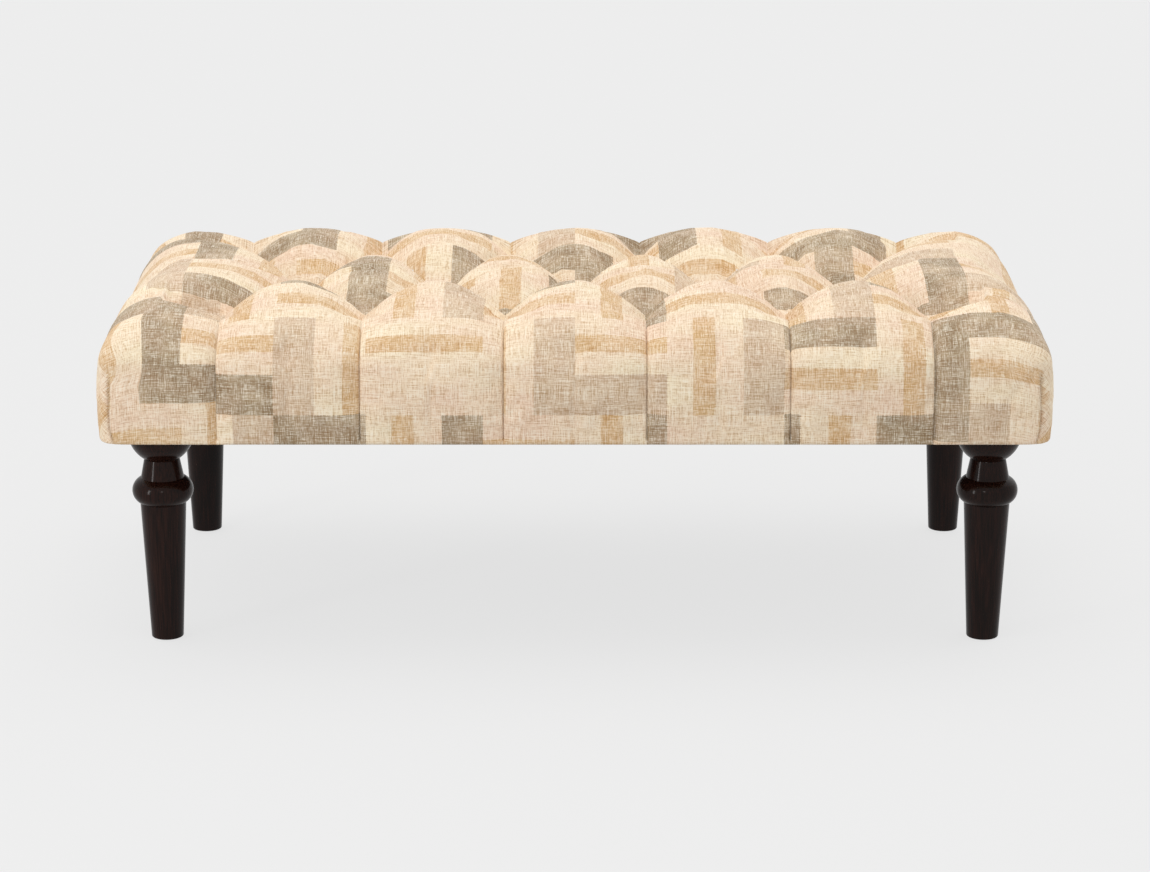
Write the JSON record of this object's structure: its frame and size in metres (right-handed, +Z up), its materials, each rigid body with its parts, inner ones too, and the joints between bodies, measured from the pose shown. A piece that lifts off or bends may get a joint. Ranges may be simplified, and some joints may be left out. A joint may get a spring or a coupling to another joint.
{
  "type": "tufted bench",
  "caption": "Long upholstered bench with a diamond-tufted, pleated padded top in a printed linen-look cover, on dark turned legs that screw into corner plates.",
  "frame": {"origin": "on the floor under the middle of the seat", "axes": "+X along the length to the right seen from the front, +Y to the rear, +Z up"},
  "size_m": [1.168, 0.61, 0.44],
  "materials": {
    "printed_linen": "matte",
    "polyester_wadding": "matte",
    "seat_foam": "matte",
    "waxed_twine": "matte",
    "dust_cloth": "matte",
    "espresso_wood": "satin",
    "softwood": "matte",
    "plywood": "matte",
    "zinc_steel": "satin",
    "nylon": "matte"
  },
  "bodies": {
    "frame": {"seat_cover": "printed_linen", "batting_wrap": "polyester_wadding", "foam_core": "seat_foam", "tuft_twines": "waxed_twine", "tuft_washers": "nylon", "deck_panel": "plywood", "front_rail": "softwood", "rear_rail": "softwood", "left_end_rail": "softwood", "right_end_rail": "softwood", "left_brace": "softwood", "right_brace": "softwood", "frame_screws": "zinc_steel", "deck_screws": "zinc_steel", "leg_plate_screws": "zinc_steel", "dust_cover": "dust_cloth", "cover_staples": "zinc_steel", "dust_cover_staples": "zinc_steel", "corner_block_front_left": "softwood", "leg_plate_front_left": "zinc_steel", "corner_block_front_right": "softwood", "leg_plate_front_right": "zinc_steel", "corner_block_rear_left": "softwood", "leg_plate_rear_left": "zinc_steel", "corner_block_rear_right": "softwood", "leg_plate_rear_right": "zinc_steel"},
    "front_left_washer": {"leg_washer_front_left": "zinc_steel"},
    "front_left_leg": {"leg_front_left": "espresso_wood", "hanger_bolt_front_left": "zinc_steel", "foot_glide_front_left": "nylon"},
    "front_right_washer": {"leg_washer_front_right": "zinc_steel"},
    "front_right_leg": {"leg_front_right": "espresso_wood", "hanger_bolt_front_right": "zinc_steel", "foot_glide_front_right": "nylon"},
    "rear_left_washer": {"leg_washer_rear_left": "zinc_steel"},
    "rear_left_leg": {"leg_rear_left": "espresso_wood", "hanger_bolt_rear_left": "zinc_steel", "foot_glide_rear_left": "nylon"},
    "rear_right_washer": {"leg_washer_rear_right": "zinc_steel"},
    "rear_right_leg": {"leg_rear_right": "espresso_wood", "hanger_bolt_rear_right": "zinc_steel", "foot_glide_rear_right": "nylon"}
  },
  "joints": [
    {"name": "front_left_leg_drop", "type": "slide", "parent": "frame", "child": "front_left_washer", "axis": [0, 0, -1], "range_m": [0, 0.01413]},
    {"name": "front_left_leg_unscrew", "type": "hinge", "parent": "front_left_washer", "child": "front_left_leg", "pos_m": [-0.512, -0.233, 0.2655], "axis": [0, 0, -1], "range_deg": [0, 3600]},
    {"name": "front_right_leg_drop", "type": "slide", "parent": "frame", "child": "front_right_washer", "axis": [0, 0, -1], "range_m": [0, 0.01413]},
    {"name": "front_right_leg_unscrew", "type": "hinge", "parent": "front_right_washer", "child": "front_right_leg", "pos_m": [0.512, -0.233, 0.2655], "axis": [0, 0, -1], "range_deg": [0, 3600]},
    {"name": "rear_left_leg_drop", "type": "slide", "parent": "frame", "child": "rear_left_washer", "axis": [0, 0, -1], "range_m": [0, 0.01413]},
    {"name": "rear_left_leg_unscrew", "type": "hinge", "parent": "rear_left_washer", "child": "rear_left_leg", "pos_m": [-0.512, 0.233, 0.2655], "axis": [0, 0, -1], "range_deg": [0, 3600]},
    {"name": "rear_right_leg_drop", "type": "slide", "parent": "frame", "child": "rear_right_washer", "axis": [0, 0, -1], "range_m": [0, 0.01413]},
    {"name": "rear_right_leg_unscrew", "type": "hinge", "parent": "rear_right_washer", "child": "rear_right_leg", "pos_m": [0.512, 0.233, 0.2655], "axis": [0, 0, -1], "range_deg": [0, 3600]}
  ],
  "couplings": [
    {"joint": "front_left_leg_drop", "follows": "front_left_leg_unscrew", "m_per_rad": 0.00022459},
    {"joint": "front_right_leg_drop", "follows": "front_right_leg_unscrew", "m_per_rad": 0.00022459},
    {"joint": "rear_left_leg_drop", "follows": "rear_left_leg_unscrew", "m_per_rad": 0.00022459},
    {"joint": "rear_right_leg_drop", "follows": "rear_right_leg_unscrew", "m_per_rad": 0.00022459}
  ]
}
